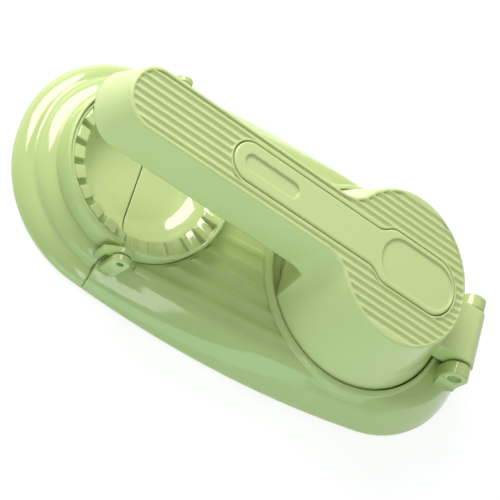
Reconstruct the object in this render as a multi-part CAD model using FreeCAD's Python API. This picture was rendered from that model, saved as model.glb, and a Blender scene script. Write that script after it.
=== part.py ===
import FreeCAD, Part
import math
import os

V = FreeCAD.Vector

# Whole object, in millimetres. X runs along the base, the arm hinge is at +X, Z is up, the table is z = 0.
mould_end_run = 68.0
deck_run = 28.1
press_end_run = 88.4
side_half = 73.4
side_radius = 605.0
corner_radius = 65.0
end_radius = 150.0
foot_gap = 1.0
wall = 2.4
seat_gap = 0.3
swing_gap = 0.4
pin_gap = 0.05
overrun = 6.0
touch = 0.01

# Base shell: rounded skirt, deck that climbs from the mould to the press, ribs on the deck
edge_height = 1.6
low_shoulder_inset = 16.0
high_shoulder_inset = 12.5
shoulder_round = 4.0
low_skirt_bulge_share = 0.11
high_skirt_bulge_share = 0.03
deck_low = 15.4
deck_high = 24.0
ramp_length = 116.0
deck_rib_count = 11
deck_rib_pitch = 10.0
deck_rib_width = 6.4
deck_rib_height = 0.9
deck_rib_sink = 0.4
deck_rib_setback = 12.0
seam_run = 7.0

# Press ring of the base and the dough plate in it
ring_gap = 0.6
ring_width = 3.6
ring_top = 26.6
ring_round = 2.6
ring_bulge_share = 0.18
ring_flare = 1.0
ring_flare_height = 8.0
ring_flare_bulge_share = 0.08
cup_floor = 11.2
plate_thickness = 3.2
plate_rim_width = 2.4
plate_rim_height = 0.8

# Ears and pin of the arm hinge
hinge_gap = 10.6
hinge_z = 33.2
ear_radius = 7.6
ear_thickness = 8.4
ear_flare = 5.0
ear_flare_height = 6.0
ear_flare_share = 0.2
tongue_width = 33.0
barrel_radius = 8.6
tongue_bottom = 27.8
tongue_climb = 1.2
tongue_gap = 1.0
arm_pin_radius = 2.5
pin_recess_radius = 4.0
pin_recess_depth = 2.6

# Mould: two half bowls that meet at the split, with a crimping ring and a thin lip
rim_radius = 48.5
rim_z = 27.2
lip_thickness = 1.9
crimp_inner_radius = 37.5
bowl_floor_z = 9.8
bowl_floor_radius = 21.0
bowl_skin = 2.2
fixed_shelf_z = 20.2
flap_shelf_z = 22.0
crimp_count = 12
crimp_round = 0.8
fixed_rib_height = 2.8
fixed_rib_drop = 1.4
fixed_rib_deg = 4.8
flap_block_height = 3.6
flap_block_drop = 1.0
flap_gap_deg = 5.4
split_gap = 0.3
mould_boss_radius = 3.1

# Flap: rolled skirt, soft valley, rising band and collar
valley_inset = 8.6
valley_z = 8.4
roll_bulge_share = 0.13
riser_run = 2.0
riser_rise = 2.2
riser_bulge_share = 0.15
crest_run = 2.2
crest_rise = 2.8
crest_bulge_share = 0.1
band_bulge_share = 0.05
band_inset = 18.2
band_depth = 24.0
collar_foot_radius = 49.8
collar_foot_z = 15.8

# Flap hinge: ears on the flap, lugs on the base, two short pins
flap_ear_inner = 50.8
flap_ear_thickness = 3.2
flap_ear_radius = 5.4
flap_ear_back = 10.6
flap_ear_back_drop = 3.0
flap_ear_foot = 3.6
flap_ear_sink = 3.0
lug_thickness = 4.2
lug_radius = 5.0
lug_chamfer = 0.7
lug_sink = 3.0
flap_pin_radius = 2.0
flap_pin_inset = 1.6

# Bottom covers, bosses, screws and feet
cover_thickness = 3.0
boss_radius = 4.0
screw_head_radius = 2.9
screw_head_height = 1.5
screw_shank_radius = 1.35
screw_length = 8.0
screw_slack = 0.25
screw_sink = 0.3
foot_radius = 6.5
foot_seat_depth = 1.0
foot_round = 0.5

# Arm: ribbed top that rises to the handle end, drafted walls, bell-shaped head
arm_rise_deg = 6.6
head_top_z = 67.9
head_top_radius = 43.4
bell_radius = 56.8
bell_bottom_z = 24.6
bell_front = 48.1
neck_fillet = 20.0
handle_reach = 186.0
handle_half = 17.7
handle_depth = 25.6
handle_draft = 3.6
handle_end_depth = 16.0
handle_end_draft = 4.4
top_skin = 3.0
arm_rim = 2.2
arm_rib_pitch = 4.4
arm_rib_cutter = 2.1
arm_rib_depth = 0.9
arm_top_round = 1.3
handle_cover_thickness = 2.2

# Press disc under the head
press_gap = 0.4
press_flange_width = 8.1
press_flange = 2.6
press_pad_round = 1.5

# Filling spoon and its pocket
spoon_half = 10.8
spoon_paddle_half = 16.2
spoon_handle_end = 120.3
spoon_flare_start = 24.6
spoon_flare_length = 14.6
spoon_paddle_straight = 20.5
spoon_tip_depth = 15.0
spoon_thickness = 3.2
spoon_proud = 0.6
spoon_gap = 0.8
spoon_border = 1.2
spoon_round = 0.8
tub_skin = 1.8
slot_length = 36.0
slot_half = 4.5
slot_setback = 6.8
slot_depth = 1.0
dish_inset = 2.8
dish_tip_inset = 1.2
dish_setback = 7.2
dish_depth = 0.9

# Places of screws and feet, as shares of the base's length and half width, as angles, or as shares of the handle
base_screw_shares = ((-0.21, 0.765), (-0.05, 0.79), (0.385, 0.615))
base_foot_shares = ((-0.14, 0.71), (0.34, 0.56))
mould_screw_degs = (-60.0, 0.0, 60.0)
flap_screw_degs = (130.0, 180.0, 230.0)
flap_foot_deg = 38.0
press_screw_degs = (-105.0, -38.0, 38.0, 105.0)
handle_screw_shares = (0.42, 0.64, 0.86)
half_share = 0.5
quarter_share = math.tan(math.pi / 8) / 2
ear_arc_share = math.tan(math.pi * 3 / 16) / 2

# Levels and places worked out from the sizes above
ring_inner = bell_radius + ring_gap
ring_outer = ring_inner + ring_width
base_length = mould_end_run + rim_radius + deck_run + ring_outer + press_end_run
split_x = mould_end_run - base_length / 2
press_x = base_length / 2 - press_end_run
seam_x = split_x - seam_run
base_first_x = seam_x + split_gap
ramp_end_x = seam_x + ramp_length
end_x = base_length / 2 - end_radius
side_drop = side_radius - side_half
hinge_x = press_x + bell_radius + hinge_gap
lip_inner = rim_radius - lip_thickness
lip_round = lip_thickness / 2
lip_top = foot_gap + edge_height
cover_top = foot_gap + cover_thickness
cover_screw_z = foot_gap + screw_sink
cover_screw_end = cover_screw_z + screw_length
tongue_half = tongue_width / 2
ear_inner = tongue_half + tongue_gap
ear_outer = ear_inner + ear_thickness
lug_inner = flap_ear_inner + flap_ear_thickness + swing_gap
front_x = press_x - bell_front
plate_top = cup_floor + plate_thickness
flange_low = bell_bottom_z - press_flange
press_pad_radius = bell_radius - wall - seat_gap - press_flange_width
pocket_depth = spoon_thickness - spoon_proud
rise = math.radians(arm_rise_deg)
arm_place = FreeCAD.Placement(V(press_x, 0, head_top_z), FreeCAD.Rotation(V(0, 1, 0), arm_rise_deg))


# General helpers
def arc_mid(a, b, share):
    """Middle of an arc from a to b that bulges to the left by a share of its chord."""
    x = (a[0] + b[0]) / 2 - (b[1] - a[1]) * share
    y = (a[1] + b[1]) / 2 + (b[0] - a[0]) * share
    return (x, y)


def outline(start, steps, place):
    """Closed wire: a step is an end point, or (end point, bulge share) for an arc."""
    edges = []
    here = start
    for step in steps + [start]:
        if isinstance(step[0], tuple):
            end, share = step
            middle = arc_mid(here, end, share)
            edges.append(Part.Arc(place(here), place(middle), place(end)).toShape())
        else:
            end = step
            edges.append(Part.makeLine(place(here), place(end)))
        here = end
    return Part.Wire(edges)


def on_xz(point):
    return V(point[0], 0, point[1])


def at_x(x):
    return lambda point: V(x, point[0], point[1])


def at_z(z):
    return lambda point: V(point[0], point[1], z)


def flip(point):
    return (point[0], -point[1])


def turned(start, steps, centre_x, first_deg, sweep_deg, centre_y=0):
    """Solid of revolution of an (r, z) profile about the vertical line through a centre."""
    face = Part.Face(outline(start, steps, on_xz))
    solid = face.revolve(V(0, 0, 0), V(0, 0, 1), sweep_deg)
    solid.rotate(V(0, 0, 0), V(0, 0, 1), first_deg)
    solid.translate(V(centre_x, centre_y, 0))
    return solid


def tangent_share(turn):
    """Bulge share of an arc that turns by an angle in radians."""
    return math.tan(turn / 4) / 2


def rounded_at(solid, z, radius):
    """Round the edges of a solid that lie in the plane at height z."""
    edges = [edge for edge in solid.Edges if all(abs(point.Z - z) < touch for point in edge.Vertexes)]
    return solid.makeFillet(radius, edges)


def post(radius, x, y, low, high):
    return Part.makeCylinder(radius, high - low, V(x, y, low))


def cross_rod(radius, x, z, y0, y1):
    return Part.makeCylinder(radius, y1 - y0, V(x, y0, z), V(0, 1, 0))


def slab(x0, x1, y0, y1, z0, z1):
    return Part.makeBox(x1 - x0, y1 - y0, z1 - z0, V(x0, y0, z0))


def block_between(x0, x1):
    """Tall block across the whole base, used to keep or cut one side of a plane x = constant."""
    return slab(x0, x1, -base_length, base_length, -overrun * 2, base_length)


def plate_xz(start, steps, y0, y1):
    face = Part.Face(outline(start, steps, on_xz))
    solid = face.extrude(V(0, y1 - y0, 0))
    solid.translate(V(0, y0, 0))
    return solid


def softened(plate, size, low):
    """Chamfer the edges of both faces of an upright plate, apart from its foot at height low."""
    edges = []
    for edge in plate.Edges:
        a, b = edge.Vertexes[0].Point, edge.Vertexes[-1].Point
        if abs(a.y - b.y) < touch and max(a.z, b.z) > low + touch:
            edges.append(edge)
    return plate.makeChamfer(size, edges)


def mirrored(shape):
    return shape.mirror(V(0, 0, 0), V(0, 1, 0))


def joined(shapes):
    return shapes[0].multiFuse(shapes[1:]).removeSplitter()


def cut_all(shape, tools):
    for tool in tools:
        shape = shape.cut(tool)
    return shape


def polar(centre_x, radius, deg):
    angle = math.radians(deg)
    return (centre_x + radius * math.cos(angle), radius * math.sin(angle))


def both_sides(places):
    return [(x, y * side) for x, y in places for side in (-1, 1)]


# Screws, their holes and their places
def screw(x, y, head_z):
    """Pan-head screw that enters from below, its head resting at head_z."""
    head = post(screw_head_radius, x, y, head_z, head_z + screw_head_height)
    shank = post(screw_shank_radius, x, y, head_z, head_z + screw_length)
    return head.fuse(shank).removeSplitter()


def cover_hole(x, y):
    """Counterbored hole for a screw in a bottom cover."""
    head = post(screw_head_radius + screw_slack, x, y, foot_gap - overrun, cover_screw_z + screw_head_height)
    shank = post(screw_shank_radius + screw_slack, x, y, foot_gap, cover_top + overrun)
    return head.fuse(shank)


def pilot_hole(x, y):
    return post(screw_shank_radius, x, y, foot_gap, cover_screw_end)


def foot_seat(x, y):
    return post(foot_radius, x, y, foot_gap - overrun, foot_gap + foot_seat_depth)


def base_screw_places():
    return both_sides([(base_length * x, side_half * y) for x, y in base_screw_shares])


def base_foot_places():
    return both_sides([(base_length * x, side_half * y) for x, y in base_foot_shares])


def fixed_mould_screw_places():
    radius = (crimp_inner_radius + lip_inner) / 2
    return [polar(split_x, radius, deg) for deg in mould_screw_degs]


def flap_mould_screw_places():
    radius = (crimp_inner_radius + lip_inner - lip_thickness) / 2
    return [polar(split_x, radius, 180 + deg) for deg in mould_screw_degs]


def flap_screw_places():
    radius = (mould_end_run - valley_inset + collar_foot_radius) / 2
    return [polar(split_x, radius, deg) for deg in flap_screw_degs]


def flap_foot_places():
    radius = rim_radius + foot_radius
    return [polar(split_x, radius, 180 - flap_foot_deg), polar(split_x, radius, 180 + flap_foot_deg)]


def press_screw_places():
    radius = (press_pad_radius + bell_radius - wall) / 2
    return [polar(press_x, radius, deg) for deg in press_screw_degs]


def handle_screw_places():
    return [-handle_reach * share for share in handle_screw_shares]


# Base outline: two long side arcs, four corner arcs and two end arcs, each tangent to the next
def corner_centre():
    """Centre of the corner arc at +X, +Y, where circles about the end and side centres cross."""
    end_reach = end_radius - corner_radius
    side_reach = side_radius - corner_radius
    gap = math.hypot(end_x, side_drop)
    along = (end_reach ** 2 - side_reach ** 2 + gap ** 2) / (2 * gap)
    across = math.sqrt(end_reach ** 2 - along ** 2)
    x = end_x - (along * end_x - across * side_drop) / gap
    y = -(along * side_drop + across * end_x) / gap
    return x, y


corner_x, corner_y = corner_centre()
end_deg = math.degrees(math.atan2(corner_y, corner_x - end_x))
side_deg = math.degrees(math.atan2(corner_y + side_drop, corner_x))


def side_half_at(x, inset):
    """Half width of the base at x, on its long side arcs."""
    return math.sqrt((side_radius - inset) ** 2 - x ** 2) - side_drop


def base_plate(inset, low, high):
    """Flat plate with the outline of the whole base, moved in by inset."""
    place = at_z(low)
    side_mid = (0, side_half - inset)
    side_angle = math.radians(side_deg)
    end_angle = math.radians(end_deg)
    mid_angle = (side_angle + end_angle) / 2
    radius = corner_radius - inset
    points = [(corner_x + radius * math.cos(a), corner_y + radius * math.sin(a))
              for a in (side_angle, mid_angle, end_angle)]
    side_end, corner_mid, end_start = points
    tip = (end_x + end_radius - inset, 0)
    back = lambda point: (-point[0], point[1])
    arcs = [
        (back(side_end), side_mid, side_end),
        (side_end, corner_mid, end_start),
        (end_start, tip, flip(end_start)),
        (flip(end_start), flip(corner_mid), flip(side_end)),
        (flip(side_end), flip(side_mid), back(flip(side_end))),
        (back(flip(side_end)), back(flip(corner_mid)), back(flip(end_start))),
        (back(flip(end_start)), back(tip), back(end_start)),
        (back(end_start), back(corner_mid), back(side_end)),
    ]
    edges = [Part.Arc(place(a), place(b), place(c)).toShape() for a, b, c in arcs]
    return Part.Face(Part.Wire(edges)).extrude(V(0, 0, high - low))


# Base shell
def deck_share(x):
    return min(1.0, (x - seam_x) / ramp_length)


def deck_height(x):
    return deck_low + (deck_high - deck_low) * deck_share(x)


def shoulder_inset(x):
    return low_shoulder_inset + (high_shoulder_inset - low_shoulder_inset) * deck_share(x)


def skirt_bulge_share(x):
    return low_skirt_bulge_share + (high_skirt_bulge_share - low_skirt_bulge_share) * deck_share(x)


def skirt_steps(half, inset_run, bulge_share, low, lip, top):
    """Profile from the foot of the skirt up its edge, over its rounded shoulder and onto the deck."""
    slope = math.atan2(top - lip, inset_run)
    drop = shoulder_round * math.sin(slope)
    start = (half - inset_run + shoulder_round * math.cos(slope), top - drop)
    end = (half - inset_run - shoulder_round, top)
    turn = slope - 2 * math.atan(2 * bulge_share)
    return [(half, low), (half, lip), (start, -bulge_share), (end, -tangent_share(turn)), (0, top)]


def half_section(x, half, inset, low, lip, place):
    """Half of the base's cross-section at x."""
    steps = skirt_steps(half, shoulder_inset(x), skirt_bulge_share(x), low, lip, deck_height(x) - inset)
    return outline((0, low), steps, place)


def base_body(inset, low, lip, first_x):
    """Outer form of the base for inset 0, or a form inside it."""
    angle = math.radians(side_deg)
    foot_x = corner_x - corner_y / math.tan(angle)
    last_half = corner_y / math.sin(angle) + corner_radius - inset
    radial = lambda point: V(foot_x + point[0] * math.cos(angle), point[0] * math.sin(angle), point[1])
    middle_x = (ramp_end_x + corner_x) / 2
    sections = []
    for x in (first_x, (first_x + ramp_end_x) / 2, ramp_end_x, middle_x):
        sections.append(half_section(x, side_half_at(x, inset), inset, low, lip, at_x(x)))
    sections.append(half_section(corner_x, last_half, inset, low, lip, radial))
    ramp = Part.makeLoft(sections[:3], True)
    level = Part.makeLoft(sections[2:], True)
    end_steps = skirt_steps(end_radius - inset, high_shoulder_inset, high_skirt_bulge_share, low, lip, deck_high - inset)
    end = turned((0, low), end_steps, end_x, -end_deg, end_deg * 2)
    corner_steps = skirt_steps(corner_radius - inset, high_shoulder_inset, high_skirt_bulge_share, low, lip,
                               deck_high - inset)
    corner = turned((0, low), corner_steps, corner_x, end_deg, side_deg - end_deg, corner_y)
    return joined([ramp, level, mirrored(ramp), mirrored(level), end, corner, mirrored(corner)])


def deck_ribs():
    """Raised bands along the sloping deck, from the mould's lip to the press ring."""
    ribs = []
    share = (deck_rib_height + deck_rib_sink) / deck_rib_width
    first_x = split_x + deck_rib_setback
    climb = deck_height(ramp_end_x) - deck_height(first_x)
    z = deck_height(first_x) - deck_rib_sink
    for index in range(deck_rib_count):
        y = (index - (deck_rib_count - 1) / 2) * deck_rib_pitch
        wire = outline((y - deck_rib_width / 2, z), [((y + deck_rib_width / 2, z), share)], at_x(first_x))
        ribs.append(Part.Face(wire).extrude(V(ramp_end_x - first_x, 0, climb)))
    mould = post(rim_radius + lip_thickness, split_x, 0, 0, rim_z)
    ring = post(ring_outer - ring_width / 2, press_x, 0, 0, rim_z)
    return Part.makeCompound(ribs).cut(mould).cut(ring)


def press_cup():
    """Round well of the press with its raised, rounded rim, flared where it meets the skirt."""
    flare_z = ring_top - ring_round - ring_flare_height
    profile = [
        (ring_outer, cup_floor - wall),
        (ring_outer, flare_z - wall),
        (ring_outer + ring_flare, flare_z - wall),
        (ring_outer + ring_flare, flare_z),
        ((ring_outer, ring_top - ring_round), ring_flare_bulge_share),
        ((ring_inner, ring_top), -ring_bulge_share),
        (ring_inner, cup_floor),
        (0, cup_floor),
    ]
    return turned((0, cup_floor - wall), profile, press_x, 0, 360)


def arm_ear():
    left = hinge_x - ear_radius
    right = hinge_x + ear_radius
    steps = [
        (left, hinge_z),
        ((hinge_x, hinge_z + ear_radius), quarter_share),
        ((right, hinge_z), quarter_share),
        (right, deck_high - wall * 2),
    ]
    plate = plate_xz((left, deck_high - wall), steps, ear_inner, ear_outer)
    return softened(plate, lug_chamfer, deck_high - wall)


def ear_foot():
    """Flared foot on the outer side of an arm ear."""
    low = deck_high - wall / 2
    steps = [
        (ear_outer + ear_flare, low),
        (ear_outer + ear_flare, deck_high),
        ((ear_outer, deck_high + ear_flare_height), ear_flare_share),
        (ear_outer - lug_chamfer * 2, deck_high + ear_flare_height),
    ]
    section = outline((ear_outer - lug_chamfer * 2, low), steps, at_x(hinge_x - ear_radius + lug_chamfer))
    return Part.Face(section).extrude(V((ear_radius - lug_chamfer) * 2, 0, 0))


def flap_lug():
    left = split_x - lug_radius
    right = split_x + lug_radius
    low = deck_low - lug_sink
    steps = [
        (left, rim_z),
        ((split_x, rim_z + lug_radius), quarter_share),
        ((right, rim_z), quarter_share),
        (right, low),
    ]
    return softened(plate_xz((left, low), steps, lug_inner, lug_inner + lug_thickness), lug_chamfer, low)


def make_base_shell():
    solid = base_body(0, foot_gap, lip_top, base_first_x)
    hollow = base_body(wall, foot_gap - overrun, cover_top + seat_gap, base_first_x + wall)
    core = base_body(wall / 2, foot_gap, lip_top, base_first_x + wall / 2)
    bosses = [post(boss_radius, x, y, cover_top, deck_high).common(core) for x, y in base_screw_places()]
    room_half = collar_foot_radius + swing_gap
    flap_room = slab(-base_length, split_x, -room_half, room_half, foot_gap - overrun, rim_z)
    mould_room = post(rim_radius + seat_gap, split_x, 0, foot_gap - overrun, rim_z)
    press_room = post(ring_outer - ring_width / 2, press_x, 0, foot_gap, ring_top)
    shell = cut_all(solid, [hollow, flap_room, mould_room, press_room])
    ears = [arm_ear(), ear_foot(), flap_lug()]
    ears += [mirrored(ear) for ear in ears]
    shell = joined([shell, press_cup(), deck_ribs()] + bosses + ears)
    holes = [cross_rod(arm_pin_radius, hinge_x, hinge_z, -side_half, side_half)]
    holes.append(cross_rod(flap_pin_radius, split_x, rim_z, -side_half, side_half))
    recess = cross_rod(pin_recess_radius, hinge_x, hinge_z, ear_outer - pin_recess_depth, side_half)
    holes += [recess, mirrored(recess)]
    holes += [pilot_hole(x, y) for x, y in base_screw_places()]
    return cut_all(shell, holes)


# Bottom covers and feet
def make_base_cover():
    plate = base_plate(wall + seat_gap, foot_gap, cover_top)
    cover = plate.common(block_between(split_x + split_gap, base_length))
    holes = [cover_hole(x, y) for x, y in base_screw_places() + fixed_mould_screw_places()]
    holes += [foot_seat(x, y) for x, y in base_foot_places()]
    return cut_all(cover, holes)


def make_flap_cover():
    plate = base_plate(wall + seat_gap, foot_gap, cover_top)
    back = plate.common(block_between(-base_length, seam_x - wall - seat_gap))
    core = post(rim_radius - seat_gap, split_x, 0, foot_gap, cover_top)
    front = core.common(block_between(-base_length, split_x - split_gap))
    cover = joined([back, front])
    holes = [cover_hole(x, y) for x, y in flap_screw_places() + flap_mould_screw_places()]
    holes += [foot_seat(x, y) for x, y in flap_foot_places()]
    return cut_all(cover, holes)


def make_foot(x, y):
    top = foot_gap + foot_seat_depth
    profile = [(foot_radius - foot_round, 0), (foot_radius, foot_round), (foot_radius, top), (0, top)]
    foot = turned((0, 0), profile, 0, 0, 360)
    foot.translate(V(x, y, 0))
    return foot


# Mould halves
def crimp_tooth(shelf, height, drop, width_deg, deg, outer):
    """One crimp: a wedge on the shelf, lower and rounded towards the bowl."""
    root = shelf - bowl_skin / 2
    inner = crimp_inner_radius
    nose = shelf + height - drop
    steps = [
        (outer, root),
        (outer, shelf + height),
        (inner + crimp_round, nose),
        ((inner, nose - crimp_round), quarter_share),
    ]
    return turned((inner, root), steps, split_x, deg - width_deg / 2, width_deg)


def bowl_share(shelf):
    """Bulge of the bowl's side, so that it leaves the flat floor smoothly."""
    return tangent_share(2 * math.atan2(shelf - bowl_floor_z, crimp_inner_radius - bowl_floor_radius))


def half_bowl(first_deg, shelf, outer, top):
    """Filled half bowl: floor, curved side, crimping shelf, lip and outer wall."""
    inner_wall = outer - lip_thickness
    profile = [
        (bowl_floor_radius, bowl_floor_z),
        ((crimp_inner_radius, shelf), -bowl_share(shelf)),
        (inner_wall, shelf),
        (inner_wall, top - lip_round),
        ((outer, top - lip_round), half_share),
        (outer, cover_top),
        (0, cover_top),
    ]
    return turned((0, bowl_floor_z), profile, split_x, first_deg, 180)


def bowl_hollow(first_deg, shelf, outer):
    """Space under a half bowl that leaves its skin."""
    low = cover_top - overrun
    inner_wall = outer - lip_thickness
    under = shelf - bowl_skin
    floor = bowl_floor_z - bowl_skin
    profile = [
        (inner_wall, low),
        (inner_wall, under),
        (crimp_inner_radius + bowl_skin / 2, under),
        ((bowl_floor_radius + bowl_skin / 2, floor), bowl_share(shelf)),
        (0, floor),
    ]
    return turned((0, low), profile, split_x, first_deg, 180)


def make_fixed_mould():
    first_deg = -90
    pitch = 180.0 / crimp_count
    edge_x = split_x + split_gap / 2
    bowl = half_bowl(first_deg, fixed_shelf_z, rim_radius, rim_z)
    hollow = bowl_hollow(first_deg, fixed_shelf_z, rim_radius)
    hollow = hollow.cut(block_between(-base_length, edge_x + bowl_skin))
    pieces = [bowl.cut(hollow)]
    for index in range(crimp_count):
        deg = first_deg + (index + half_share) * pitch
        pieces.append(crimp_tooth(fixed_shelf_z, fixed_rib_height, fixed_rib_drop, fixed_rib_deg, deg, lip_inner))
    places = fixed_mould_screw_places()
    pieces += [post(mould_boss_radius, x, y, cover_top, fixed_shelf_z - bowl_skin / 2) for x, y in places]
    mould = joined(pieces).cut(block_between(-base_length, edge_x))
    return cut_all(mould, [pilot_hole(x, y) for x, y in places])


def make_flap_mould():
    first_deg = 90
    pitch = 180.0 / crimp_count
    edge_x = split_x - split_gap / 2
    outer = lip_inner - seat_gap
    top = flap_shelf_z + flap_block_height
    bowl = half_bowl(first_deg, flap_shelf_z, outer, top)
    hollow = bowl_hollow(first_deg, flap_shelf_z, outer)
    hollow = hollow.cut(block_between(edge_x - bowl_skin, base_length))
    pieces = [bowl.cut(hollow)]
    for index in range(1, crimp_count):
        deg = first_deg + index * pitch
        width_deg = pitch - flap_gap_deg
        pieces.append(crimp_tooth(flap_shelf_z, flap_block_height, flap_block_drop, width_deg, deg,
                                  outer - lip_thickness))
    places = flap_mould_screw_places()
    pieces += [post(mould_boss_radius, x, y, cover_top, flap_shelf_z - bowl_skin / 2) for x, y in places]
    mould = joined(pieces).cut(block_between(edge_x, base_length))
    return cut_all(mould, [pilot_hole(x, y) for x, y in places])


# Flap shell
def around_flap(start, steps):
    """Solid swept along the flap's outline by a profile of (setback from the edge, z)."""
    def about(radius):
        points = []
        for step in [start] + steps:
            if isinstance(step[0], tuple):
                points.append(((radius - step[0][0], step[0][1]), step[1]))
            else:
                points.append((radius - step[0], step[1]))
        return points[0], points[1:]

    first_deg = 90 + math.degrees(math.asin(-split_x / side_radius))
    profile = about(end_radius)
    end = turned(profile[0], profile[1], -end_x, 180 - end_deg, end_deg * 2)
    profile = about(corner_radius)
    corner = turned(profile[0], profile[1], -corner_x, 180 - side_deg, side_deg - end_deg, corner_y)
    profile = about(side_radius)
    side = turned(profile[0], profile[1], 0, first_deg, 180 - side_deg - first_deg, -side_drop)
    return joined([end, corner, mirrored(corner), side, mirrored(side)])


def flap_skirt(inset, low, lip):
    """Skirt and band of the flap, from its edge to under its collar, moved in by inset for its hollow."""
    valley = (valley_inset + inset / 2, valley_z - inset)
    riser = (valley[0] + riser_run, valley[1] + riser_rise)
    crest = (riser[0] + crest_run, riser[1] + crest_rise)
    foot = (band_inset - inset / 2, collar_foot_z - inset)
    return [
        (inset, low),
        (inset, lip),
        (valley, -roll_bulge_share),
        (riser, riser_bulge_share),
        (crest, -crest_bulge_share),
        (foot, -band_bulge_share),
        (band_depth, foot[1]),
    ]


def flap_collar():
    """Upright collar of the flap, with a round lip level with the mould's rim."""
    top = rim_z - lip_round
    steps = [
        (collar_foot_radius, cover_top),
        (collar_foot_radius, collar_foot_z),
        (rim_radius, top),
        ((lip_inner, top), -half_share),
    ]
    return turned((lip_inner, cover_top), steps, split_x, 90, 180)


def flap_ear():
    """Ear that rises from the flap's band to the hinge axis and wraps round the pin."""
    back = split_x - flap_ear_back
    low = collar_foot_z - flap_ear_sink
    under = rim_z - flap_ear_radius
    slant = flap_ear_radius * math.sqrt(2) / 2
    steps = [
        (back, rim_z - flap_ear_back_drop),
        (split_x - slant, rim_z + slant),
        ((split_x + flap_ear_radius, rim_z), ear_arc_share),
        ((split_x, under), quarter_share),
        (back + flap_ear_foot, under),
        (back + flap_ear_foot, low),
    ]
    return plate_xz((back, low), steps, flap_ear_inner, flap_ear_inner + flap_ear_thickness)


def flap_hollow(inset):
    """Space under the flap's skirt that leaves a skin as thick as inset."""
    low = foot_gap - overrun
    space = around_flap((band_depth, low), flap_skirt(inset, low, cover_top + seat_gap))
    return space.cut(post(lip_inner + inset, split_x, 0, low, base_length))


def make_flap_shell():
    edge = [(wall, cover_top), (wall, foot_gap)]
    skirt = around_flap((band_depth, cover_top), edge + flap_skirt(0, foot_gap, lip_top))
    solid = joined([skirt, flap_collar()]).cut(post(lip_inner, split_x, 0, 0, base_length))
    hollow = flap_hollow(wall).cut(block_between(seam_x - wall, base_length))
    core = flap_hollow(wall / 2)
    places = flap_screw_places()
    bosses = [post(boss_radius, x, y, cover_top, rim_z).common(core) for x, y in places]
    shell = joined([solid.cut(hollow)] + bosses)
    side = slab(seam_x, base_length, collar_foot_radius, base_length, -overrun, base_length)
    shell = cut_all(shell, [side, mirrored(side), block_between(split_x - split_gap / 2, base_length)])
    shell = joined([shell, flap_ear(), mirrored(flap_ear())])
    holes = [cross_rod(flap_pin_radius + pin_gap, split_x, rim_z, -side_half, side_half)]
    holes += [pilot_hole(x, y) for x, y in places]
    return cut_all(shell, holes)


# Arm shell
def unit(dx, dy):
    size = math.hypot(dx, dy)
    return (dx / size, dy / size)


def neck(centre, radius, half, fillet):
    """Fillet that blends a straight side at y = half into the head circle: centre and both tangent points."""
    reach = math.sqrt((radius + fillet) ** 2 - (half + fillet) ** 2)
    share = radius / (radius + fillet)
    middle = (centre - reach, half + fillet)
    on_side = (centre - reach, half)
    on_head = (centre - reach * share, (half + fillet) * share)
    return middle, on_side, on_head


def arc_about(centre, radius, a, b, place):
    """Minor arc from a to b about centre."""
    ua = unit(a[0] - centre[0], a[1] - centre[1])
    ub = unit(b[0] - centre[0], b[1] - centre[1])
    um = unit(ua[0] + ub[0], ua[1] + ub[1])
    middle = (centre[0] + um[0] * radius, centre[1] + um[1] * radius)
    return Part.Arc(place(a), place(middle), place(b)).toShape()


def oval_end(corner, depth, place):
    """Half-ellipse between corner and its mirror point, as deep as depth."""
    centre = place((corner[0], 0))
    tip = place((corner[0] + depth, 0))
    if abs(depth) > abs(corner[1]):
        return Part.ArcOfEllipse(Part.Ellipse(tip, place(corner), centre), -math.pi / 2, math.pi / 2).toShape()
    return Part.ArcOfEllipse(Part.Ellipse(place(corner), tip, centre), 0, math.pi).toShape()


def keyhole(centre, radius, half, fillet, end, depth, place):
    """Closed outline of the arm: rounded handle end, straight sides, neck fillets and round head."""
    middle, on_side, on_head = neck(centre, radius, half, fillet)
    corner = (end + depth, half)
    edges = [
        oval_end(corner, -depth, place),
        Part.makeLine(place(flip(corner)), place(flip(on_side))),
        arc_about(flip(middle), fillet, flip(on_side), flip(on_head), place),
        Part.Arc(place(flip(on_head)), place((centre + radius, 0)), place(on_head)).toShape(),
        arc_about(middle, fillet, on_head, on_side, place),
        Part.makeLine(place(on_side), place(corner)),
    ]
    return Part.Wire(edges)


def bell_outline(centre, radius, half, fillet, front, place):
    """Round head outline cut square at the front, across its neck fillets."""
    middle, on_side, on_head = neck(centre, radius, half, fillet)
    cut = (front, middle[1] - math.sqrt(fillet ** 2 - (front - middle[0]) ** 2))
    edges = [
        Part.makeLine(place(cut), place(flip(cut))),
        arc_about(flip(middle), fillet, flip(cut), flip(on_head), place),
        Part.Arc(place(flip(on_head)), place((centre + radius, 0)), place(on_head)).toShape(),
        arc_about(middle, fillet, on_head, cut, place),
    ]
    return Part.Wire(edges)


def arm_level(depth):
    """Sizes of the arm outline at a depth below its ribbed top, measured square to that top."""
    share = depth / handle_depth
    bell_drop = (head_top_z - bell_bottom_z) * math.cos(rise)
    radius = head_top_radius + (bell_radius - head_top_radius) * depth / bell_drop
    half = handle_half + handle_draft * share
    end = -(handle_reach + handle_end_draft * share)
    centre = depth * math.tan(rise)
    return centre, radius, half, end


def arm_outline(inset, depth):
    centre, radius, half, end = arm_level(depth)
    return keyhole(centre, radius - inset, half - inset, neck_fillet + inset, end + inset,
                   handle_end_depth - inset / 2, at_z(-depth))


def arm_upper(inset, top_depth, low_depth):
    """Handle and upper head between two depths below the ribbed top."""
    body = Part.makeLoft([arm_outline(inset, top_depth), arm_outline(inset, low_depth)], True, True)
    if top_depth == 0:
        body = rounded_at(body, 0, arm_top_round)
    body.Placement = arm_place
    return body


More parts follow.
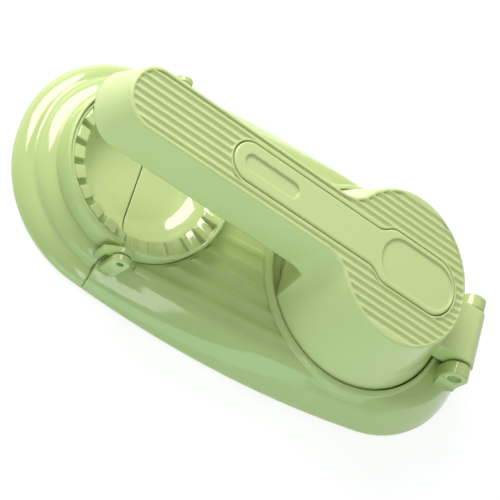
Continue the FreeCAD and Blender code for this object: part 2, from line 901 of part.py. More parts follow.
def bell_mouth(inset, z):
    """Outline of the bell's horizontal mouth."""
    mouth_half = handle_half + handle_draft * (head_top_z - bell_bottom_z) / handle_depth
    wire = bell_outline(0, bell_radius - inset, mouth_half - inset, neck_fillet + inset, inset - bell_front, at_z(z))
    wire.translate(V(press_x, 0, 0))
    return wire


def arm_bell(inset):
    """Lower half of the head, from the underside of the handle down to the horizontal bell mouth."""
    centre, radius, half, end = arm_level(handle_depth)
    front = (front_x + inset - press_x + handle_depth * math.sin(rise)) / math.cos(rise)
    upper = bell_outline(centre, radius - inset, half - inset, neck_fillet + inset, front, at_z(-handle_depth))
    upper.Placement = arm_place
    return Part.makeLoft([upper, bell_mouth(inset, bell_bottom_z)], True, True)


def arm_tongue():
    root = press_x + head_top_radius
    top = hinge_z + barrel_radius
    steps = [(root, top + tongue_climb), (hinge_x, top), (hinge_x, tongue_bottom)]
    web = plate_xz((root, tongue_bottom), steps, -tongue_half, tongue_half)
    return web.fuse(cross_rod(barrel_radius, hinge_x, hinge_z, -tongue_half, tongue_half))


def local_post(radius, along, low, high):
    """Post square to the arm's top, at a place along the handle."""
    solid = Part.makeCylinder(radius, high - low, V(along, 0, low))
    solid.Placement = arm_place
    return solid


def arm_grooves():
    """Valleys between the ribs of the arm's top, kept inside its rim and clear of the spoon pocket."""
    radius = head_top_radius - arm_rim
    field = Part.Face(arm_outline(arm_rim, arm_rib_depth * 2)).extrude(V(0, 0, arm_rib_depth * 2 + overrun))
    count = int(radius / arm_rib_pitch)
    length = handle_reach + head_top_radius
    height = arm_rib_cutter - arm_rib_depth
    cutters = []
    for index in range(-count, count):
        y = (index + half_share) * arm_rib_pitch
        cutters.append(Part.makeCylinder(arm_rib_cutter, length, V(-handle_reach, y, height), V(1, 0, 0)))
    valleys = Part.makeCompound(cutters).common(field)
    valleys.Placement = arm_place
    return valleys.cut(spoon_block(spoon_gap + spoon_border, -handle_depth, overrun))


def make_arm_shell():
    solid = joined([arm_upper(0, 0, handle_depth), arm_bell(0)])
    hollow = joined([arm_upper(wall, top_skin, handle_depth), arm_bell(wall)])
    hollow = hollow.cut(spoon_block(spoon_gap + tub_skin, -(pocket_depth + tub_skin), 0))
    boss_low = handle_cover_thickness - handle_depth
    boss_top = bell_bottom_z + screw_length + wall
    core = arm_bell(wall / 2)
    bosses = [local_post(boss_radius, along, boss_low, -top_skin / 2) for along in handle_screw_places()]
    bosses += [post(boss_radius, x, y, bell_bottom_z, boss_top).common(core) for x, y in press_screw_places()]
    shell = joined([solid, arm_tongue()]).cut(hollow)
    shell = joined([shell] + bosses)
    cuts = [spoon_block(spoon_gap, -pocket_depth, overrun), arm_grooves()]
    cuts.append(cross_rod(arm_pin_radius + pin_gap, hinge_x, hinge_z, -side_half, side_half))
    cuts += [local_post(screw_shank_radius, along, boss_low, boss_low + screw_length)
             for along in handle_screw_places()]
    cuts += [post(screw_shank_radius, x, y, bell_bottom_z, bell_bottom_z + screw_length)
             for x, y in press_screw_places()]
    return cut_all(shell, cuts)


# Handle cover and its screws
def make_handle_cover():
    cover = arm_upper(wall + seat_gap, handle_depth - handle_cover_thickness, handle_depth)
    cover = cover.cut(block_between(front_x - seat_gap, base_length))
    sunk = screw_head_height / 2 - handle_depth
    holes = []
    for along in handle_screw_places():
        holes.append(local_post(screw_shank_radius + screw_slack, along, -handle_depth - overrun, 0))
        holes.append(local_post(screw_head_radius + screw_slack, along, -handle_depth - overrun, sunk))
    return cut_all(cover, holes)


def make_handle_screws():
    low = -handle_depth - screw_head_height / 2
    screws = []
    for along in handle_screw_places():
        piece = screw(along, 0, low)
        piece.Placement = arm_place
        screws.append(piece)
    return screws


# Press disc and dough plate
def make_press_disc():
    low = plate_top + press_gap
    profile = [
        (press_pad_radius - press_pad_round, low),
        ((press_pad_radius, low + press_pad_round), -quarter_share),
        (press_pad_radius, flange_low),
        (0, flange_low),
    ]
    pad = turned((0, low), profile, press_x, 0, 360)
    flange = Part.Face(bell_mouth(wall + seat_gap, flange_low)).extrude(V(0, 0, press_flange))
    holes = [post(screw_shank_radius + screw_slack, x, y, 0, head_top_z) for x, y in press_screw_places()]
    return cut_all(joined([pad, flange]), holes)


def make_press_screws():
    return [screw(x, y, flange_low - screw_head_height) for x, y in press_screw_places()]


def make_dough_plate():
    radius = ring_inner - seat_gap
    inner = radius - plate_rim_width
    profile = [
        (radius, cup_floor),
        (radius, plate_top + plate_rim_height),
        (inner, plate_top + plate_rim_height),
        (inner, plate_top),
        (0, plate_top),
    ]
    return turned((0, cup_floor), profile, press_x, 0, 360)


# Filling spoon
def spoon_outline(grow, z):
    """Spoon seen from above: round handle end, straight handle, flared neck and round-tipped paddle."""
    place = at_z(z)
    half = spoon_half + grow
    paddle = spoon_paddle_half + grow
    run = spoon_flare_length / 2
    step = (paddle - half) / 2
    radius = (run ** 2 + step ** 2) / (2 * step)
    turn = math.asin(run / radius) / 2
    start = (-spoon_flare_start, half)
    knee = (start[0] + run, half + step)
    wide = (start[0] + spoon_flare_length, paddle)
    first_mid = (start[0] + radius * math.sin(turn), half + radius * (1 - math.cos(turn)))
    second_mid = (wide[0] - radius * math.sin(turn), paddle - radius * (1 - math.cos(turn)))
    tip = (spoon_paddle_straight, paddle)
    end = -(spoon_handle_end + grow)
    back = (end + half, half)
    edges = [
        Part.Arc(place(back), place((end, 0)), place(flip(back))).toShape(),
        Part.makeLine(place(flip(back)), place(flip(start))),
        Part.Arc(place(flip(start)), place(flip(first_mid)), place(flip(knee))).toShape(),
        Part.Arc(place(flip(knee)), place(flip(second_mid)), place(flip(wide))).toShape(),
        Part.makeLine(place(flip(wide)), place(flip(tip))),
        oval_end(flip(tip), spoon_tip_depth + grow, place),
        Part.makeLine(place(tip), place(wide)),
        Part.Arc(place(wide), place(second_mid), place(knee)).toShape(),
        Part.Arc(place(knee), place(first_mid), place(start)).toShape(),
        Part.makeLine(place(start), place(back)),
    ]
    return Part.Face(Part.Wire(edges))


def spoon_block(grow, low, high):
    block = spoon_outline(grow, low).extrude(V(0, 0, high - low))
    block.Placement = arm_place
    return block


def spoon_recess(edges):
    recess = Part.Face(Part.Wire(edges)).extrude(V(0, 0, overrun))
    recess.Placement = arm_place
    return recess


def make_spoon():
    spoon = spoon_outline(0, -pocket_depth).extrude(V(0, 0, spoon_thickness))
    spoon = rounded_at(spoon, spoon_proud, spoon_round)
    spoon.Placement = arm_place
    place = at_z(spoon_proud - slot_depth)
    first = (slot_setback - spoon_handle_end + slot_half, slot_half)
    last = (slot_setback - spoon_handle_end + slot_length - slot_half, slot_half)
    slot = spoon_recess([
        Part.Arc(place(first), place((first[0] - slot_half, 0)), place(flip(first))).toShape(),
        Part.makeLine(place(flip(first)), place(flip(last))),
        Part.Arc(place(flip(last)), place((last[0] + slot_half, 0)), place(last)).toShape(),
        Part.makeLine(place(last), place(first)),
    ])
    place = at_z(spoon_proud - dish_depth)
    dish_half = spoon_paddle_half - dish_inset
    first = (dish_setback - spoon_flare_start + dish_half, dish_half)
    last = (spoon_paddle_straight, dish_half)
    dish = spoon_recess([
        Part.Arc(place(first), place((first[0] - dish_half, 0)), place(flip(first))).toShape(),
        Part.makeLine(place(flip(first)), place(flip(last))),
        oval_end(flip(last), spoon_tip_depth - dish_tip_inset, place),
        Part.makeLine(place(last), place(first)),
    ])
    return spoon.cut(slot).cut(dish)


# Hinge pins
def make_arm_pin():
    reach = ear_outer - pin_recess_depth
    return cross_rod(arm_pin_radius, hinge_x, hinge_z, -reach, reach)


def make_flap_pin():
    return cross_rod(flap_pin_radius, split_x, rim_z, flap_ear_inner, lug_inner + lug_thickness - flap_pin_inset)


def cover_screws(places):
    return [screw(x, y, cover_screw_z) for x, y in places]


def save(name, shapes):
    """Write one node, which holds one solid or a group of like ones."""
    solids = [solid for shape in shapes for solid in shape.Solids]
    print(name, len(solids), round(sum(solid.Volume for solid in solids), 1), all(s.isValid() for s in solids))
    result = solids[0] if len(solids) == 1 else Part.makeCompound(solids)
    result.exportStep("parts/" + name + ".step")


os.makedirs("parts", exist_ok=True)
save("base_shell", [make_base_shell()])
save("fixed_mould_half", [make_fixed_mould()])
save("dough_plate", [make_dough_plate()])
save("base_bottom_cover", [make_base_cover()])
save("base_cover_screws", cover_screws(base_screw_places()))
save("fixed_mould_screws", cover_screws(fixed_mould_screw_places()))
for foot_name, foot_place in zip(("front_left", "rear_left", "front_right", "rear_right"), base_foot_places()):
    save("base_foot_" + foot_name, [make_foot(foot_place[0], foot_place[1])])
save("arm_hinge_pin", [make_arm_pin()])
save("flap_pin_rear", [make_flap_pin()])
save("flap_pin_front", [mirrored(make_flap_pin())])
save("flap_shell", [make_flap_shell()])
save("flap_mould_half", [make_flap_mould()])
save("flap_bottom_cover", [make_flap_cover()])
save("flap_cover_screws", cover_screws(flap_screw_places()))
save("flap_mould_screws", cover_screws(flap_mould_screw_places()))
for foot_name, foot_place in zip(("rear", "front"), flap_foot_places()):
    save("flap_foot_" + foot_name, [make_foot(foot_place[0], foot_place[1])])
save("arm_shell", [make_arm_shell()])
save("handle_bottom_cover", [make_handle_cover()])
save("handle_screws", make_handle_screws())
save("press_disc", [make_press_disc()])
save("press_disc_screws", make_press_screws())
save("filling_spoon", [make_spoon()])
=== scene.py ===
import math

import bmesh
import bpy
from mathutils import Matrix, Vector


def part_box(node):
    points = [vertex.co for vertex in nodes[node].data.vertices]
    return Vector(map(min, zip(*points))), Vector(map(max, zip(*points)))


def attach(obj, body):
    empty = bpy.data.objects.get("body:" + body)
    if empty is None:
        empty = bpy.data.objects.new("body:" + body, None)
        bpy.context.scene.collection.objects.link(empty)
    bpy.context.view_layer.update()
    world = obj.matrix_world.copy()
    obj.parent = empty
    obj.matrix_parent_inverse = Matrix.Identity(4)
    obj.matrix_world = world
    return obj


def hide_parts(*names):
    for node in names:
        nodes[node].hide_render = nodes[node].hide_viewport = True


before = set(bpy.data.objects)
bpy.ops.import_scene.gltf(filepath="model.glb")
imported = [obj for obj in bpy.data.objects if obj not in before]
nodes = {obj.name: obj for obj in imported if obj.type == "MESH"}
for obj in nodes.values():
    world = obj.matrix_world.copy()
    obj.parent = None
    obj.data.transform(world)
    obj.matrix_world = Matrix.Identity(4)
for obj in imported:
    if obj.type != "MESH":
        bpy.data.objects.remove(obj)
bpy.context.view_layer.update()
scene = bpy.context.scene
scene.view_settings.view_transform = "Standard"


# Camera: a long lens high above the near side, rolled so that the tool lies across the frame.
# It looks at the middle of the base, from a little under a metre away.
def millimetres(*values):
    """Place or offset that is given in millimetres."""
    return Vector(values) / 1000


camera_azimuth = math.radians(-37.7055)
camera_height = math.radians(53.5942)
camera_roll = math.radians(61.1248)
camera_target = millimetres(-6.35, 0, 3.2)
camera_offset = millimetres(3.68, -1.91, 984.1)
camera_back = Vector((math.sin(camera_azimuth) * math.cos(camera_height),
                      -math.cos(camera_azimuth) * math.cos(camera_height),
                      math.sin(camera_height)))
level_right = Vector((math.cos(camera_azimuth), math.sin(camera_azimuth), 0))
level_up = camera_back.cross(level_right)
camera_right = level_right * math.cos(camera_roll) + level_up * math.sin(camera_roll)
camera_up = level_up * math.cos(camera_roll) - level_right * math.sin(camera_roll)
camera_turn = Matrix((camera_right, camera_up, camera_back)).transposed()
camera_place = Matrix.Translation(camera_target + camera_turn @ camera_offset)
camera_data = bpy.data.cameras.new("camera")
camera_data.sensor_width = 36
camera_data.lens = 129.9
camera_data.clip_start = 0.01
camera = bpy.data.objects.new("camera", camera_data)
camera.matrix_world = camera_place @ camera_turn.to_4x4()
scene.collection.objects.link(camera)
scene.camera = camera


# Studio: a plain white table in an even pale room, lit by a large soft box on the far side,
# a narrow strip light on the near side and a low, minty reflector. The table looks white to
# the camera and in reflections, and keeps a faint shadow of the tool.
def add_node(tree, kind, feeds=None, **settings):
    """New node with its settings, its sockets fed by other sockets or by plain values."""
    node = tree.nodes.new(kind)
    for setting, value in settings.items():
        setattr(node, setting, value)
    for socket, source in (feeds or {}).items():
        if isinstance(source, bpy.types.NodeSocket):
            tree.links.new(source, node.inputs[socket])
        else:
            node.inputs[socket].default_value = source
    return node


def seen_directly(tree):
    """Mask of the camera, glossy and transmission rays."""
    path = add_node(tree, "ShaderNodeLightPath").outputs
    seen = path["Is Camera Ray"]
    for ray in ("Is Glossy Ray", "Is Transmission Ray"):
        seen = add_node(tree, "ShaderNodeMath", {0: seen, 1: path[ray]},
                        operation="MAXIMUM").outputs[0]
    return seen


world = bpy.data.worlds.new("studio room")
world.use_nodes = True
room_light = world.node_tree.nodes["Background"]
room_light.inputs["Color"].default_value = (0.9, 1.0, 0.93, 1)
room_light.inputs["Strength"].default_value = 0.5
scene.world = world

table_half = 3.0
table_bm = bmesh.new()
bmesh.ops.create_grid(table_bm, x_segments=2, y_segments=2, size=table_half)
table_mesh = bpy.data.meshes.new("table")
table_bm.to_mesh(table_mesh)
table_bm.free()
table = bpy.data.objects.new("table", table_mesh)
scene.collection.objects.link(table)
table_look = bpy.data.materials.new("white table")
table_look.use_nodes = True
table_tree = table_look.node_tree
table_lit = table_tree.nodes["Principled BSDF"]
table_lit.inputs["Base Color"].default_value = (0.86, 0.97, 0.9, 1)
table_lit.inputs["Roughness"].default_value = 0.8
table_glow = add_node(table_tree, "ShaderNodeEmission", {"Color": (1, 1, 1, 1), "Strength": 0.8})
table_shade = add_node(table_tree, "ShaderNodeBsdfDiffuse", {"Color": (0.3, 0.3, 0.3, 1)})
table_seen = add_node(table_tree, "ShaderNodeAddShader",
                      {0: table_glow.outputs[0], 1: table_shade.outputs[0]})
table_mix = add_node(table_tree, "ShaderNodeMixShader",
                     {"Fac": seen_directly(table_tree),
                      1: table_lit.outputs[0], 2: table_seen.outputs[0]})
table_out = table_tree.nodes["Material Output"]
table_tree.links.new(table_mix.outputs[0], table_out.inputs["Surface"])
table_mesh.materials.append(table_look)

lamp_aim = millimetres(0, 0, 20)


def soft_box(name, azimuth, height, distance, width, depth, power, colour):
    """Rectangular lamp that looks at the tool from an azimuth and height in degrees."""
    lamp = bpy.data.lights.new(name, "AREA")
    lamp.shape = "RECTANGLE"
    lamp.size = width
    lamp.size_y = depth
    lamp.energy = power
    lamp.color = colour
    box = bpy.data.objects.new(name, lamp)
    turn, lift = math.radians(azimuth), math.radians(height)
    back = Vector((math.cos(turn) * math.cos(lift), math.sin(turn) * math.cos(lift),
                   math.sin(lift)))
    facing = back.to_track_quat("Z", "Y").to_matrix().to_4x4()
    box.matrix_world = Matrix.Translation(lamp_aim + back * distance) @ facing
    scene.collection.objects.link(box)


soft_box("key soft box", azimuth=128, height=35, distance=1.1, width=0.8, depth=0.62,
         power=13, colour=(1.0, 0.99, 0.97))
soft_box("strip light", azimuth=-85, height=45, distance=1.1, width=0.14, depth=0.5,
         power=0.7, colour=(0.95, 1.0, 0.98))
soft_box("near reflector", azimuth=-85, height=8, distance=1.6, width=1.6, depth=0.7,
         power=5.5, colour=(0.58, 1.0, 0.84))


# Base shell: the long oval body that stands on the table and carries everything else.
# One hollow moulding in glossy pale green plastic, with the hinge lugs and ears grown on it.
def share_added(tree, value, share, start):
    """Start value plus a share of another value."""
    return add_node(tree, "ShaderNodeMath", {0: value, 1: share, 2: start},
                    operation="MULTIPLY_ADD").outputs[0]


def noise(tree, place, scale, detail):
    """Soft noise at a place, with its scale per metre."""
    return add_node(tree, "ShaderNodeTexNoise",
                    {"Vector": place, "Scale": scale, "Detail": detail}).outputs["Fac"]


def moulded_skin():
    """Group of the marks that moulding and handling leave on a plastic.

    It puts out a cloudy colour with edges painted paler, partly as wear and partly as a painted
    highlight, a roughness with dull spots, rubbed streaks and worn edges, the height of a fine
    skin, and the normal of a softened edge.
    """
    group = bpy.data.node_groups.new("moulded skin", "ShaderNodeTree")
    colour_kind, value_kind, normal_kind = "NodeSocketColor", "NodeSocketFloat", "NodeSocketVector"
    taken = {"Colour": colour_kind, "Cloud": value_kind, "Roughness": value_kind,
             "Spread": value_kind, "Grain Scale": value_kind, "Edge Width": value_kind}
    put_out = {"Colour": colour_kind, "Roughness": value_kind, "Skin": value_kind,
               "Soft Edge": normal_kind}
    for way, sockets in (("INPUT", taken), ("OUTPUT", put_out)):
        for name, kind in sockets.items():
            group.interface.new_socket(name=name, in_out=way, socket_type=kind)
    given = add_node(group, "NodeGroupInput").outputs
    place = add_node(group, "ShaderNodeTexCoord").outputs["Object"]

    cloud = noise(group, place, scale=24.0, detail=3.0)
    streak_place = add_node(group, "ShaderNodeMapping",
                            {"Vector": place, "Rotation": (0.3, 0.2, 0.6),
                             "Scale": (18.0, 240.0, 240.0)}).outputs[0]
    streak = noise(group, streak_place, scale=1.0, detail=4.0)
    rubbed = add_node(group, "ShaderNodeMapRange",
                      {"Value": streak, "From Min": 0.6, "From Max": 0.75}).outputs[0]

    rounded = add_node(group, "ShaderNodeBevel", {"Radius": given["Edge Width"]},
                       samples=6).outputs[0]
    true_face = add_node(group, "ShaderNodeNewGeometry").outputs["Normal"]
    facing = add_node(group, "ShaderNodeVectorMath", {0: rounded, 1: true_face},
                      operation="DOT_PRODUCT").outputs["Value"]
    edge = add_node(group, "ShaderNodeMapRange",
                    {"Value": facing, "From Min": 0.98, "From Max": 0.8}).outputs[0]
    worn_and_highlit_edge = add_node(group, "ShaderNodeMath", {0: edge, 1: cloud}, operation="MULTIPLY").outputs[0]

    # The edges are painted paler by a small share, partly as wear and partly as a painted
    # highlight of their rounding.
    cloud_middle, edge_highlight_paling = 0.5, 0.06
    drift = add_node(group, "ShaderNodeMath", {0: cloud, 1: cloud_middle},
                     operation="SUBTRACT").outputs[0]
    tint = share_added(group, drift, given["Cloud"], 1.0)
    paler = share_added(group, worn_and_highlit_edge, edge_highlight_paling, tint)
    colour = add_node(group, "ShaderNodeVectorMath", {0: given["Colour"], "Scale": paler},
                      operation="SCALE").outputs[0]

    streak_dulling, edge_dulling = 0.05, 0.15
    dull = share_added(group, drift, given["Spread"], given["Roughness"])
    scuffed = share_added(group, rubbed, streak_dulling, dull)
    roughness = share_added(group, worn_and_highlit_edge, edge_dulling, scuffed)

    peel_share = 1.5
    grain = noise(group, place, given["Grain Scale"], detail=2.0)
    peel = noise(group, place, scale=160.0, detail=1.0)
    skin = share_added(group, peel, peel_share, grain)
    add_node(group, "NodeGroupOutput", {"Colour": colour, "Roughness": roughness,
                                        "Skin": skin, "Soft Edge": rounded})
    return group


skin_group = moulded_skin()


def moulded_look(name, colour, cloud, roughness, spread, grain_scale, grain_depth, edge_width,
                 gloss=0.5):
    """Moulded plastic of a colour.

    Cloud is how far the colour drifts, spread how far the roughness does. The grain has a
    scale per metre and a depth, and the edges a width over which they are softened.
    """
    look = bpy.data.materials.new(name)
    look.use_nodes = True
    tree = look.node_tree
    shader = tree.nodes["Principled BSDF"]
    shader.inputs["IOR"].default_value = 1.49
    shader.inputs["Specular IOR Level"].default_value = gloss
    shader.inputs["Subsurface Weight"].default_value = 0.25
    shader.inputs["Subsurface Radius"].default_value = (1.0, 1.0, 0.5)
    shader.inputs["Subsurface Scale"].default_value = 0.003
    skin = add_node(tree, "ShaderNodeGroup", node_tree=skin_group)
    for socket, value in (("Colour", (*colour, 1)), ("Cloud", cloud), ("Roughness", roughness),
                          ("Spread", spread), ("Grain Scale", grain_scale),
                          ("Edge Width", edge_width)):
        skin.inputs[socket].default_value = value
    bump = add_node(tree, "ShaderNodeBump",
                    {"Strength": 1.0, "Distance": grain_depth, "Height": skin.outputs["Skin"],
                     "Normal": skin.outputs["Soft Edge"]})
    tree.links.new(skin.outputs["Colour"], shader.inputs["Base Color"])
    tree.links.new(skin.outputs["Roughness"], shader.inputs["Roughness"])
    tree.links.new(bump.outputs[0], shader.inputs["Normal"])
    return look


def new_piece(node_name, finish, bm, look, body):
    """Piece from a bmesh that rides on a body and stands for a CAD node, named after the node and
    a finish.
    """
    bmesh.ops.recalc_face_normals(bm, faces=bm.faces)
    name = f"{node_name}_{finish}"
    mesh = bpy.data.meshes.new(name)
    bm.to_mesh(mesh)
    bm.free()
    mesh.materials.append(look)
    piece = bpy.data.objects.new(name, mesh)
    scene.collection.objects.link(piece)
    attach(piece, body)
    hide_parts(node_name)
    return piece


merge_distance = 0.000002
sharp_angle = math.radians(15)


def reshaped(name, look, body, reshape):
    """Merged copy of a CAD node with some corners moved, in place of the node."""
    bm = bmesh.new()
    bm.from_mesh(nodes[name].data)
    bmesh.ops.remove_doubles(bm, verts=bm.verts, dist=merge_distance)
    for corner in bm.verts:
        reshape(corner.co)
    for face in bm.faces:
        face.smooth = True
    piece = new_piece(name, "finished", bm, look, body)
    piece.data.set_sharp_from_angle(angle=sharp_angle)


ear_face = 0.02585
ear_foot_end = 0.13285
ear_foot_low = 0.0228
ear_foot_root = 0.016
ear_foot_taper = 0.35
level_slack = 0.00002


def down_to_skirt(corner):
    """Draws in the end of an ear's flared foot and carries it down into the skirt."""
    reach = abs(corner.y) - ear_face
    if corner.x > ear_foot_end and reach > 0 and corner.z > ear_foot_root:
        corner.y = math.copysign(ear_face + reach * ear_foot_taper, corner.y)
        if abs(corner.z - ear_foot_low) < level_slack:
            corner.z = ear_foot_root


gloss_green = (0.51, 0.6, 0.255)
base_look = moulded_look("gloss green base", gloss_green, cloud=0.08, roughness=0.08,
                         spread=0.06, grain_scale=1400.0, grain_depth=0.000004,
                         edge_width=0.0009, gloss=0.7)
reshaped("base_shell", base_look, "base", down_to_skirt)


# Fixed mould half: the crimping bowl half that stays in the base, with teeth around its rim.
# A separate glossy moulding in a paler green, screwed up from below.
mould_look = moulded_look("gloss green mould", (0.57, 0.65, 0.32), cloud=0.08, roughness=0.07,
                          spread=0.06, grain_scale=1400.0, grain_depth=0.000004,
                          edge_width=0.0007, gloss=0.7)
mould_split = -0.079
split_face = 0.00017
split_relief = 0.0003


def relieve_split(corner):
    """Sets the meeting faces of the two mould halves a little back, as rounded edges do."""
    if abs(corner.x - mould_split) < split_face:
        corner.x += math.copysign(split_relief, corner.x - mould_split)


reshaped("fixed_mould_half", mould_look, "base", relieve_split)


# Dough plate: the round plate under the press, on which a ball of dough is flattened.
# A green moulding with a satin face, set in the round opening of the base.
def dress(look, name):
    """Gives the CAD node of a name a look."""
    nodes[name].data.materials.clear()
    nodes[name].data.materials.append(look)


press_look = moulded_look("press green", (0.52, 0.61, 0.27), cloud=0.08, roughness=0.25,
                          spread=0.1, grain_scale=1800.0, grain_depth=0.000006,
                          edge_width=0.0006)
dress(press_look, "dough_plate")


# Bottom cover of the base: the flat plate that closes the hollow shell from below.
# Moulded in the same green with a fine spark-eroded grain, held by six screws.
cover_look = moulded_look("grained green cover", (0.5, 0.59, 0.26), cloud=0.1, roughness=0.42,
                          spread=0.12, grain_scale=2600.0, grain_depth=0.00002,
                          edge_width=0.0005)
dress(cover_look, "base_bottom_cover")


# Screws of the base: six for the bottom cover and three for the fixed mould half.
# Short pan heads with a cross recess, cold headed and rolled from steel and zinc-plated,
# driven up into the bosses of the mouldings.
steel_look = bpy.data.materials.new("zinc-plated steel")
steel_look.use_nodes = True
steel_tree = steel_look.node_tree
steel_shader = steel_tree.nodes["Principled BSDF"]
steel_shader.inputs["Metallic"].default_value = 1.0
steel_place = add_node(steel_tree, "ShaderNodeTexCoord").outputs["Object"]
steel_spots = noise(steel_tree, steel_place, scale=900.0, detail=3.0)
steel_tones = add_node(steel_tree, "ShaderNodeValToRGB", {"Fac": steel_spots})
dark_zinc, bright_zinc = steel_tones.color_ramp.elements
dark_zinc.color = (0.42, 0.43, 0.44, 1)
bright_zinc.color = (0.68, 0.68, 0.66, 1)
steel_dull = add_node(steel_tree, "ShaderNodeMapRange",
                      {"Value": steel_spots, "To Min": 0.22, "To Max": 0.42})
steel_bump = add_node(steel_tree, "ShaderNodeBump", {"Distance": 0.00001, "Height": steel_spots})
steel_tree.links.new(steel_tones.outputs["Color"], steel_shader.inputs["Base Color"])
steel_tree.links.new(steel_dull.outputs[0], steel_shader.inputs["Roughness"])
steel_tree.links.new(steel_bump.outputs[0], steel_shader.inputs["Normal"])

recess_reach, recess_half, recess_depth, recess_taper = 0.0015, 0.0004, 0.0009, 0.6
head_flat, head_radius, head_height = 0.0021, 0.0029, 0.0015
shank_radius, core_radius, tip_radius = 0.00135, 0.00105, 0.0005
thread_pitch, thread_turns = 0.0011, 5
screw_length = 0.008
head_rings = ((head_flat, 0), ((head_flat + head_radius) / 2, head_height / 8),
              (head_radius, head_height / 2), (head_radius, head_height),
              (core_radius, head_height))
thread_rings = ((core_radius, 0), (shank_radius, thread_pitch / 4),
                (core_radius, thread_pitch / 2))


def ring_out(bm, edges, radius, height):
    """Extrudes a round loop of edges to a radius and height, and returns the new loop."""
    made = bmesh.ops.extrude_edge_only(bm, edges=edges)["geom"]
    for corner in made:
        if isinstance(corner, bmesh.types.BMVert):
            flat = corner.co.xy.normalized() * radius
            corner.co = (flat.x, flat.y, height)
    return [edge for edge in made if isinstance(edge, bmesh.types.BMEdge)]


def open_edges(bm):
    """Edges at the rim of an open mesh."""
    return [edge for edge in bm.edges if edge.is_boundary]


def in_cross(face):
    """Whether a face of the three by three grid is in the cross of the recess."""
    middle = face.calc_center_median()
    return min(abs(middle.x), abs(middle.y)) < recess_half / 2


def cross_head_screw():
    """Mesh of one screw, its outer face at the origin and its shank along Z."""
    bm = bmesh.new()
    bmesh.ops.create_grid(bm, x_segments=3, y_segments=3, size=recess_reach)
    for corner in bm.verts:
        for axis in (0, 1):
            outer = abs(corner.co[axis]) > recess_reach / 2
            corner.co[axis] = math.copysign(recess_reach if outer else recess_half,
                                            corner.co[axis])
    cross = [face for face in bm.faces if in_cross(face)]
    floor = bmesh.ops.extrude_face_region(bm, geom=cross)["geom"]
    bmesh.ops.delete(bm, geom=cross, context="FACES_ONLY")
    for corner in floor:
        if isinstance(corner, bmesh.types.BMVert):
            corner.co = (corner.co.x * recess_taper, corner.co.y * recess_taper, recess_depth)
    bmesh.ops.subdivide_edges(bm, edges=open_edges(bm), cuts=1)
    loop = open_edges(bm)
    for radius, height in head_rings:
        loop = ring_out(bm, loop, radius, height)
    for turn in range(thread_turns):
        start = head_height + thread_pitch * (turn + 0.5)
        for radius, rise in thread_rings:
            loop = ring_out(bm, loop, radius, start + rise)
    loop = ring_out(bm, loop, tip_radius, screw_length)
    bmesh.ops.holes_fill(bm, edges=loop)
    bmesh.ops.recalc_face_normals(bm, faces=bm.faces)
    mesh = bpy.data.meshes.new("one screw")
    bm.to_mesh(mesh)
    bm.free()
    return mesh


screw_mesh = cross_head_screw()
screw_spread = 0.012
rim_depth = 0.0001


def screw_feet(name, way):
    """Middle of the outer face of every screw of a CAD node, whose shanks all lead one way."""
    screws = []
    for corner in nodes[name].data.vertices:
        near = next((screw for screw in screws
                     if (screw[0] - corner.co).length < screw_spread), None)
        if near is None:
            screws.append([corner.co])
        else:
            near.append(corner.co)
    feet = []
    for screw in screws:
        lowest = min(corner.dot(way) for corner in screw)
        rim = [corner for corner in screw if corner.dot(way) < lowest + rim_depth]
        feet.append(sum(rim, Vector()) / len(rim))
    return feet


def set_of_screws(name, body, way):
    """Piece that stands for a CAD node of screws."""
    bm = bmesh.new()
    turn = way.to_track_quat("Z", "Y").to_matrix().to_4x4()
    for foot in screw_feet(name, way):
        made = len(bm.verts)
        bm.from_mesh(screw_mesh)
        bm.verts.ensure_lookup_table()
        bmesh.ops.transform(bm, matrix=Matrix.Translation(foot) @ turn, verts=bm.verts[made:])
    new_piece(name, "threaded", bm, steel_look, body)


straight_up = Vector((0, 0, 1))
set_of_screws("base_cover_screws", "base", straight_up)
set_of_screws("fixed_mould_screws", "base", straight_up)


# Feet of the base: four round anti-slip pads with a shallow dish in the sole.
# Moulded in soft grey-green rubber and pushed into seats of the bottom cover.
rubber_look = moulded_look("foot rubber", (0.42, 0.46, 0.36), cloud=0.15, roughness=0.7,
                           spread=0.15, grain_scale=2200.0, grain_depth=0.00003,
                           edge_width=0.0006)
dish_depth, dish_share, sole_share = 0.0003, 0.62, 0.7
foot_round, foot_cheek = 0.0007, 0.3
foot_steps = 48
pole_merge = 0.00001


def rubber_foot(name, body):
    """Turned pad with a rounded rim and a shallow dish, in place of a CAD foot."""
    low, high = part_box(name)
    middle = (low + high) / 2
    radius, height = (high.x - low.x) / 2, high.z
    cheek = foot_round * foot_cheek
    profile = ((0, dish_depth), (radius * dish_share, dish_depth), (radius * sole_share, 0),
               (radius - foot_round, 0), (radius - cheek, cheek), (radius, foot_round),
               (radius, height), (0, height))
    bm = bmesh.new()
    corners = [bm.verts.new((middle.x + out, middle.y, up)) for out, up in profile]
    for first, second in zip(corners, corners[1:]):
        bm.edges.new((first, second))
    bmesh.ops.spin(bm, geom=bm.verts[:] + bm.edges[:], cent=(middle.x, middle.y, 0),
                   axis=(0, 0, 1), angle=math.tau, steps=foot_steps, use_merge=True)
    bmesh.ops.remove_doubles(bm, verts=bm.verts, dist=pole_merge)
    new_piece(name, "pad", bm, rubber_look, body)


for base_foot in ("base_foot_front_left", "base_foot_rear_left",
                  "base_foot_front_right", "base_foot_rear_right"):
    rubber_foot(base_foot, "base")


# Flap pins: two short pins on which the flap turns, one at each end of the mould's split.
# Cut from plated steel rod with chamfered ends, and pressed a little way into the lugs.
pin_segments = 40
pin_chamfer = 0.0003
flap_pin_depth = 0.0016


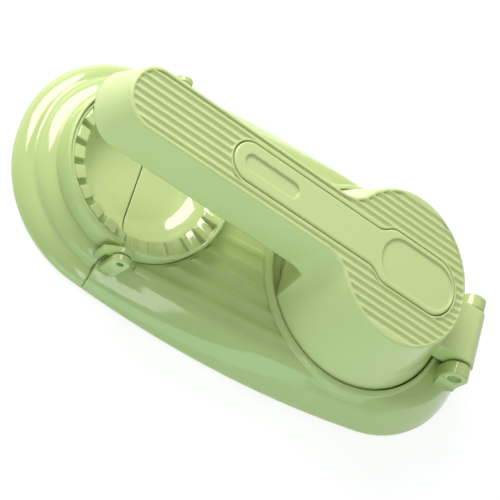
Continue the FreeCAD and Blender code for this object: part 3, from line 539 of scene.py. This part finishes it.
def turned_pin(name, body, short_low, short_high):
    """Chamfered steel pin along Y in place of a CAD pin, set deeper in its hole at either end."""
    low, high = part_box(name)
    middle = (low + high) / 2
    radius = (high.z - low.z) / 2
    start, end = low.y + short_low, high.y - short_high
    bm = bmesh.new()
    bmesh.ops.create_cone(bm, cap_ends=True, segments=pin_segments, radius1=radius,
                          radius2=radius, depth=end - start)
    rims = [edge for edge in bm.edges
            if abs(edge.verts[0].co.z - edge.verts[1].co.z) < pin_chamfer / 10]
    bmesh.ops.bevel(bm, geom=rims, offset=pin_chamfer, offset_type="OFFSET", affect="EDGES",
                    segments=2, profile=0.5, material=-1)
    bmesh.ops.rotate(bm, cent=(0, 0, 0), matrix=Matrix.Rotation(math.pi / 2, 3, "X"),
                     verts=bm.verts)
    bmesh.ops.translate(bm, vec=(middle.x, (start + end) / 2, middle.z), verts=bm.verts)
    new_piece(name, "turned", bm, steel_look, body)


turned_pin("flap_pin_rear", "base", 0, flap_pin_depth)
turned_pin("flap_pin_front", "base", flap_pin_depth, 0)


# Flap shell: the rounded end that folds up, with a rolled rim, a valley, a band and a collar.
# One hollow glossy moulding in the same green as the base, with softer edges.
flap_look = moulded_look("gloss green flap", gloss_green, cloud=0.08, roughness=0.08,
                         spread=0.06, grain_scale=1400.0, grain_depth=0.000004,
                         edge_width=0.0018, gloss=0.7)
dress(flap_look, "flap_shell")


# Flap mould half: the other half of the crimping bowl, which folds the dough over.
# A glossy moulding like the fixed half, screwed into the flap from below.
reshaped("flap_mould_half", mould_look, "flap", relieve_split)


# Bottom cover of the flap: the plate that closes the hollow flap from below.
# Grained green moulding like the cover of the base. Three screws hold it, and three more of
# the same kind hold the mould half.
dress(cover_look, "flap_bottom_cover")
set_of_screws("flap_cover_screws", "flap", straight_up)
set_of_screws("flap_mould_screws", "flap", straight_up)


# Feet of the flap: two pads like those of the base.
# Moulded in the same rubber and pushed into seats of the flap's cover.
rubber_foot("flap_foot_rear", "flap")
rubber_foot("flap_foot_front", "flap")


# Arm shell: the long ribbed handle and the round press head in one hollow moulding.
# Satin green plastic with fine parallel ribs cut in the mould.
satin_green = (0.61, 0.685, 0.32)
satin_look = moulded_look("satin green arm", satin_green, cloud=0.06, roughness=0.22,
                          spread=0.08, grain_scale=2600.0, grain_depth=0.000006,
                          edge_width=0.0014)
dress(satin_look, "arm_shell")


# Press disc: the round disc under the press head that flattens the dough.
# A green moulding with the same satin face as the dough plate, held by four screws.
dress(press_look, "press_disc")
set_of_screws("press_disc_screws", "arm", straight_up)


# Handle cover: the plate that closes the hollow handle from below.
# Satin green moulding, held by three screws that stand square to the tilted handle.
dress(satin_look, "handle_bottom_cover")
arm_rise = math.radians(6.6)
arm_up = Vector((math.sin(arm_rise), 0, math.cos(arm_rise)))
set_of_screws("handle_screws", "arm", arm_up)


# Arm hinge pin: the pin on which the arm turns, through both ears of the base and the tongue.
# Cut from plated steel rod with chamfered ends, and set below the faces of the ears.
arm_pin_depth = 0.002
turned_pin("arm_hinge_pin", "base", arm_pin_depth, arm_pin_depth)


# Filling spoon: a flat spoon with a shallow dish and a long sunk grip.
# A loose moulding in the satin green of the arm, kept in a recess in its top.
dress(satin_look, "filling_spoon")
